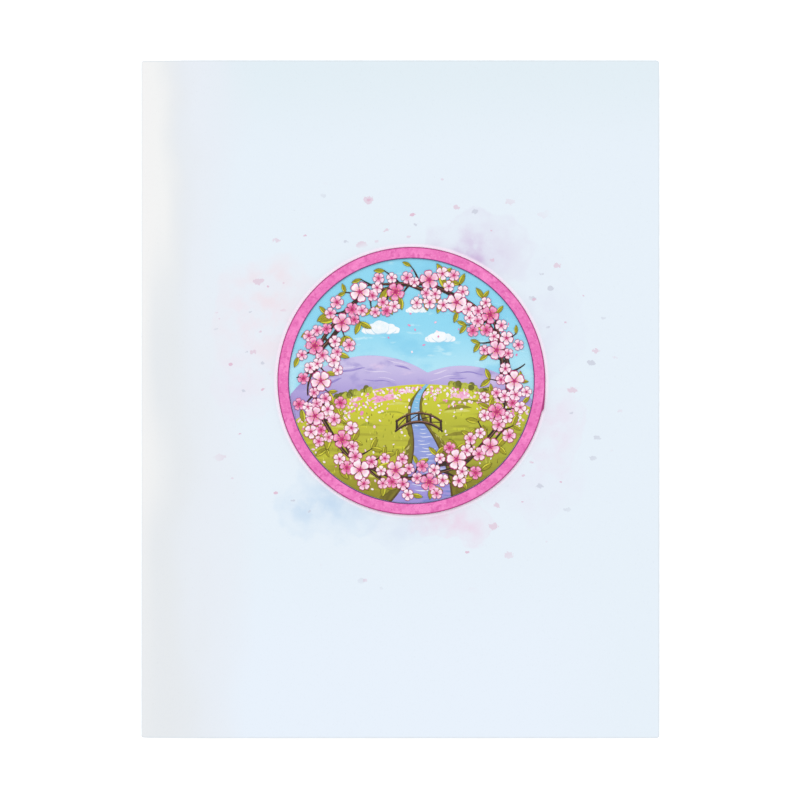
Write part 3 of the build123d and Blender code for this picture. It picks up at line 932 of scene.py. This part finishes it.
twigs = []
twig_tips = []
for step, start in enumerate(around(HOOP_TWIGS)):
    line = []
    for a in spread(start, start + HOOP_SPAN, 40):
        line.append(polar(WREATH_RADIUS + 0.35 * math.sin(9 * a + step), a))
    twigs += long_twig(line, 1.2, 0.4, -0.05 + 0.004 * step, 0.14)
for step, start in enumerate(around(TWIG_COUNT)):
    line = []
    for share in spread(0, 1, 30):
        sway = TWIG_SWING * (2 * share - 1) + 0.2 * math.sin(14 * share + step)
        line.append(polar(WREATH_RADIUS + sway, start + TWIG_SPAN * share))
    twigs += long_twig(line, 1.1, 0.35, -0.02 + 0.004 * step, 0.12)
for step in range(SIDE_TWIGS):
    start = math.tau * (step + chance.uniform(-0.3, 0.3)) / SIDE_TWIGS
    side = 1 if step % 2 else -1
    reach = chance.uniform(3.2, 5.6)
    root = polar(WREATH_RADIUS, start)
    tip = polar(WREATH_RADIUS + side * reach, start + chance.uniform(0.05, 0.14))
    line = bent(root, tip, chance.uniform(-0.5, 0.5), 9)
    twigs.append(up_to_twigs(stroke(line, 0.75, 0.5, 0.25), -0.0601 + 0.0004 * step, 0))
    twig_tips.append((tip, math.atan2(tip[1] - root[1], tip[0] - root[0])))
twig_piece = cut_paper("twigs", twigs, [wood_dark, wood_light])
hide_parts("twig_wreath")

# Leaves: pointed yellow green leaves in pairs along the twigs, each painted light on one half
# and darker on the other, with a dark rib. Ten large ones stand across the hoop.
LEAF_LENGTH = 4.8
LEAF_WIDTH = 1.9
LEAF_COUNT = 10
LEAF_OFFSET = 2.0
LEAF_TILT = math.radians(42)
leaf_top = twig_top + PRINT_DEPTH


def leaf(x, y, turn, long, wide, bottom, top):
    """One leaf: its dark outline, two halves and a rib, about its middle."""
    half = long / 2
    rib, upper, lower = (bent((-half, 0), (half, 0), bow, 13) for bow in (0.06 * long, wide / 2, -wide / 2))
    outline = [(1.07 * u, 1.12 * v) for u, v in lower + upper[::-1][1:-1]]
    parts = [
        (outline, top - 0.02, 2),
        (rib + upper[::-1][1:-1], top - 0.01, 0),
        (lower + rib[::-1][1:-1], top - 0.008, 1),
        (stroke(rib, 0.16, 0.09, 0.03), top, 2),
    ]
    return [(turned(points, x, y, turn), bottom, height, number) for points, height, number in parts]


def wreath_place(step, count, offset):
    """Place and direction of one of many pieces around the hoop, by turns outside and inside it."""
    side = 1 - 2 * (step % 2)
    angle = math.tau * step / count
    return polar(WREATH_RADIUS + side * offset, angle), angle, side


leaf_paints = [
    brush_paint("leaf_light", (216, 212, 62), (200, 198, 50)),
    brush_paint("leaf_deep", (162, 156, 34), (142, 136, 30)),
    brush_paint("leaf_line", (70, 58, 20), (88, 76, 26)),
]
large_leaves = []
for step in range(LEAF_COUNT):
    (x, y), angle, side = wreath_place(step, LEAF_COUNT, LEAF_OFFSET)
    turn = angle + math.pi / 2 - side * LEAF_TILT
    large_leaves += leaf(x, y, turn, LEAF_LENGTH, LEAF_WIDTH, twig_top, leaf_top)
leaf_piece = cut_paper("large_leaves", large_leaves, leaf_paints)
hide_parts("wreath_leaves")

small_leaves = []
for (x, y), heading in twig_tips:
    for side in (-1, 1):
        long = chance.uniform(2.6, 4)
        turn = heading + side * chance.uniform(0.5, 1.0)
        middle = (x + 0.45 * long * math.cos(turn), y + 0.45 * long * math.sin(turn))
        top = leaf_top - 0.06 + 0.00004 * len(small_leaves)
        if within(*middle, 1.4):
            small_leaves += leaf(*middle, turn, long, long * 0.38, field_top, top)
cut_paper("small_leaves", small_leaves, leaf_paints)

# Blossoms: five-petal flowers cut from three pinks, eighteen large ones by turns outside and
# inside the hoop and many small ones between them. Petals deepen towards the heart, a darker
# backing shows as a line around them, and yellow stamens stand in the middle.
BLOSSOM_COUNT = 18
BLOSSOM_STAGGER = 1.8
SMALL_BLOSSOMS = 104
PETALS = 5
PETAL_OUTLINE = [(0.1, 0), (0.45, -29), (0.72, -31), (0.92, -24), (1, -11), (0.95, 0),
                 (1, 11), (0.92, 24), (0.72, 31), (0.45, 29)]
BACKING_GROWTH = 0.1
BACKING, HEART, STAMEN = 3, 4, 5
BLOSSOM_TONES = {
    "pale": (6.0, (230, 112, 168), (250, 204, 226), (255, 246, 250)),
    "pink": (5.6, (220, 78, 146), (244, 166, 204), (253, 226, 238)),
    "deep": (5.2, (196, 44, 114), (232, 104, 166), (248, 184, 214)),
}


def petal_paint(name, heart, middle, tip):
    """Petal paper that pales from the heart of the flower to the tips of its petals."""
    finish = Finish(name, pigment(*heart))
    reach = finish.add("ShaderNodeAttribute", attribute_name="reach").outputs["Fac"]
    patchy = finish.number("ADD", reach, finish.fade(finish.mottle(0.9, 3), 0.2, 0.8, -0.16, 0.16))
    finish.paint(pigment(*middle), finish.fade(patchy, 0.12, 0.5))
    finish.paint(pigment(*tip), finish.fade(patchy, 0.45, 0.95))
    return finish.paper(0.55, depth=0.006)


def patch(shape, middle, edge, thick, number):
    """A closed thin patch, fanned out from a middle to an edge; each point comes with its reach."""
    layer = shape.verts.layers.float["reach"]
    tops, lows = [], []
    for point, reach in [middle] + edge:
        for row, drop in ((tops, 0), (lows, thick)):
            vert = shape.verts.new((point - Vector((0, 0, drop))) * MM)
            vert[layer] = reach
            row.append(vert)
    count = len(edge)
    for i in range(1, count + 1):
        j = i % count + 1
        top, bottom = (tops[0], tops[i], tops[j]), (lows[0], lows[j], lows[i])
        for side in (top, bottom, (lows[i], lows[j], tops[j], tops[i])):
            shape.faces.new(side).material_index = number


def blossom(shape, x, y, radius, turn, height, tone, stamens):
    """One flower: backing, five cupped petals, a heart and its stamens."""

    def spot(share, angle, lift):
        return Vector((x, y, height)) + Vector((*polar(radius * share, turn + angle), lift))

    back = []
    for aim in around(PETALS):
        for share, degrees in PETAL_OUTLINE[1:]:
            back.append((spot(share + BACKING_GROWTH, aim + math.radians(degrees) * 1.04, -0.03), 1))
    patch(shape, (spot(0, 0, -0.03), 1), back, 0.02, BACKING)
    for aim in around(PETALS):
        edge = []
        for share, degrees in PETAL_OUTLINE:
            edge.append((spot(share, aim + math.radians(degrees), -0.02 + 0.012 * radius * share**2), share))
        patch(shape, (spot(0.58, aim, 0), 0.58), edge, 0.015, tone)
    patch(shape, (spot(0, 0, 0.012), 0), [(spot(0.16, a, 0), 0) for a in around(8)], 0.03, HEART)
    for i in range(stamens):
        aim = math.tau * (i + 0.5) / stamens
        share = 0.34 if i % 2 else 0.42
        tip = spot(share, aim, 0.015)
        dot = [(tip + Vector((*polar(0.05 * radius, a), 0)), 0) for a in around(6)]
        patch(shape, (tip + Vector((0, 0, 0.01)), 0), dot, 0.02, STAMEN)
        thread = [spot(0.08, aim - 0.1, 0.008), spot(share, aim, 0.01), spot(0.08, aim + 0.1, 0.008)]
        patch(shape, (spot(share / 2, aim, 0.009), 0), [(point, 0) for point in thread], 0.01, HEART)


def blossom_shape():
    shape = bmesh.new()
    shape.verts.layers.float.new("reach")
    return shape


blossom_finishes = [petal_paint(f"petals_{tone}", *paints[1:]) for tone, paints in BLOSSOM_TONES.items()]
blossom_finishes += [
    brush_paint("blossom_line", (206, 78, 140), (186, 58, 120)),
    brush_paint("heart_red", (178, 36, 96), (200, 60, 116), 0.3),
    brush_paint("stamen_gold", (250, 226, 120), (236, 196, 80), 0.3),
]
blossom_spots = []
for number, (tone, paints) in enumerate(BLOSSOM_TONES.items()):
    radius = paints[0] / 2
    shape = blossom_shape()
    for step in range(number, BLOSSOM_COUNT, len(BLOSSOM_TONES)):
        (x, y), angle, side = wreath_place(step, BLOSSOM_COUNT, BLOSSOM_STAGGER)
        height = leaf_top + 0.06 + 0.004 * number
        blossom(shape, x, y, radius / 1.04, angle + math.pi / 2, height, number, 8)
        blossom_spots.append((x, y, radius))
    flowers = on_disc(f"large_blossoms_{tone}", shape, blossom_finishes)
    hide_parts(f"blossoms_{tone}")

shape = blossom_shape()
tries = 0
small_count = 0
while small_count < SMALL_BLOSSOMS and tries < 6000:
    tries += 1
    radius = chance.uniform(1.45, 2.0)
    place = polar(WREATH_RADIUS + chance.gauss(0, 3.0), chance.uniform(0, math.tau))
    if not 20.5 < math.hypot(*place) < PICTURE_RADIUS - radius - 0.3:
        continue
    if any(math.hypot(place[0] - x, place[1] - y) < 0.78 * (radius + near) for x, y, near in blossom_spots):
        continue
    blossom_spots.append((*place, radius))
    height = leaf_top + 0.008 + 0.0004 * small_count
    blossom(shape, *place, radius, chance.uniform(0, math.tau), height, chance.choice((0, 0, 1, 1, 2)), 5)
    small_count += 1
on_disc("small_blossoms", shape, blossom_finishes)

# Ring: cut from thicker card in a mottled pearl pink, glued over the disc's edge to frame the
# picture. A thin dark line runs along both of its edges, partly the dark cut edge of the card and
# partly painted shade at the cut, and a small step shows on the outer one where the round cut was
# closed.
RING_INNER = 36.1
RING_SIDES = 240
EDGE_LINE = 0.28
CUT_STEP = 0.38
CUT_STEP_ANGLE = math.radians(-12)
CUT_STEP_SPAN = math.radians(9)
ring_low, ring_high = (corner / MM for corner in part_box("medallion_ring"))
ring_outer = (ring_high.x - ring_low.x) / 2


def ring_card():
    """Pearl pink: broad and fine mottling, pale flecks, and dark lines along both edges, partly cut edge and
    partly painted shade.
    """
    finish = Finish("ring_card", pigment(238, 118, 190))
    finish.blotch(pigment(250, 137, 204), 1, 0.44, 0.62, 4, 3)
    finish.blotch(pigment(222, 98, 173), 0.8, 0.5, 0.64, 1.5, 5, shift=(5, 9, 0))
    finish.blotch(pigment(255, 158, 214), 0.6, 0.54, 0.7, 0.55, 3, shift=(2, 4, 0))
    finish.blotch(pigment(220, 98, 172), 0.6, 0.56, 0.72, 0.4, 2, shift=(9, 1, 0))
    away = finish.away(finish.place, (0, 0))
    # Dark lines along the outer and inner edges: partly the card's dark cut edge, partly painted shade at
    # the cut.
    outer_cut_and_shade = finish.fade(away, ring_outer - EDGE_LINE - 0.12, ring_outer - EDGE_LINE + 0.06)
    inner_cut_and_shade = finish.fade(away, RING_INNER + EDGE_LINE + 0.06, RING_INNER + EDGE_LINE - 0.1)
    finish.paint(pigment(168, 58, 122), outer_cut_and_shade)
    finish.paint(pigment(108, 48, 116), inner_cut_and_shade)
    return finish.paper(0.42, grain=0.3)


def cut_step(angle):
    """How far the outer edge stands out where the round cut was closed."""
    past = (angle - CUT_STEP_ANGLE) % math.tau
    return CUT_STEP * max(0, 1 - past / CUT_STEP_SPAN)


ring_corners = [
    (ring_outer - EDGE_ROUNDING, ring_low.z + EDGE_ROUNDING, -90),
    (ring_outer - EDGE_ROUNDING, ring_high.z - EDGE_ROUNDING, 0),
    (RING_INNER + EDGE_ROUNDING, ring_high.z - EDGE_ROUNDING, 90),
    (RING_INNER + EDGE_ROUNDING, ring_low.z + EDGE_ROUNDING, 180),
]
profile = []
for radius, height, degrees in ring_corners:
    start = math.radians(degrees)
    profile += arc((radius, height), EDGE_ROUNDING, start, start + math.pi / 2, 4)
shape = bmesh.new()
hoops = []
for radius, height in profile:
    hoop = []
    for a in around(RING_SIDES):
        out = cut_step(a) if radius > RING_INNER + 1 else 0
        hoop.append(shape.verts.new(Vector((*polar(radius + out, a), height)) * MM))
    hoops.append(hoop + hoop[:1])
grid_faces(shape, hoops + hoops[:1])
ring = on_disc("ring", shape, [ring_card()])
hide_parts("medallion_ring")

# Studio: a plain white floor lit a little from below, a soft key light from above the top of the
# card and an even fill from all round. The camera looks straight down, as for a catalogue picture.
PHOTO_WIDTH = 235.9
PHOTO_MIDDLE = (-0.05, -0.23)
LENS = 400
SENSOR = 36
KEY_DIRECTION = Vector((-0.14, 0.6, 0.79))
KEY_STRENGTH = 0.9
KEY_SOFTNESS = math.radians(32)
FILL_STRENGTH = 0.91
FLOOR_GLOW = 0.33
FLOOR_REACH = 12000
FLOOR_GAP = 0.02
WHITE = (1, 1, 1, 1)

floor_paint = Finish("floor_paint", (0.97, 0.97, 0.97, 1))
floor_paint.blotch((0.96, 0.96, 0.96, 1), 1, 0.4, 0.6, 300, 2)
floor_paint.shader.inputs["Emission Color"].default_value = WHITE
floor_paint.shader.inputs["Emission Strength"].default_value = FLOOR_GLOW
shape = bmesh.new()
bmesh.ops.create_grid(shape, x_segments=8, y_segments=8, size=FLOOR_REACH * MM)
floor = add_shape("floor", shape, [floor_paint.paper(0.9, 2, 0)])
floor.location.z = -FLOOR_GAP * MM

key = bpy.data.lights.new("key", "SUN")
key.energy = KEY_STRENGTH
key.angle = KEY_SOFTNESS
key_light = add_object("key", key)
key_light.rotation_euler = KEY_DIRECTION.to_track_quat("Z", "Y").to_euler()

world = bpy.data.worlds.new("fill")
world.use_nodes = True
fill = world.node_tree.nodes["Background"].inputs
fill["Color"].default_value = WHITE
fill["Strength"].default_value = FILL_STRENGTH
bpy.context.scene.world = world
bpy.context.scene.view_settings.view_transform = "Standard"

camera_data = bpy.data.cameras.new("camera")
camera_data.lens = LENS
camera_data.sensor_width = SENSOR
camera_data.clip_start = 0.01
camera = add_object("camera", camera_data)
camera.location = Vector((*PHOTO_MIDDLE, cover_high.z + PHOTO_WIDTH * LENS / SENSOR)) * MM
bpy.context.scene.camera = camera
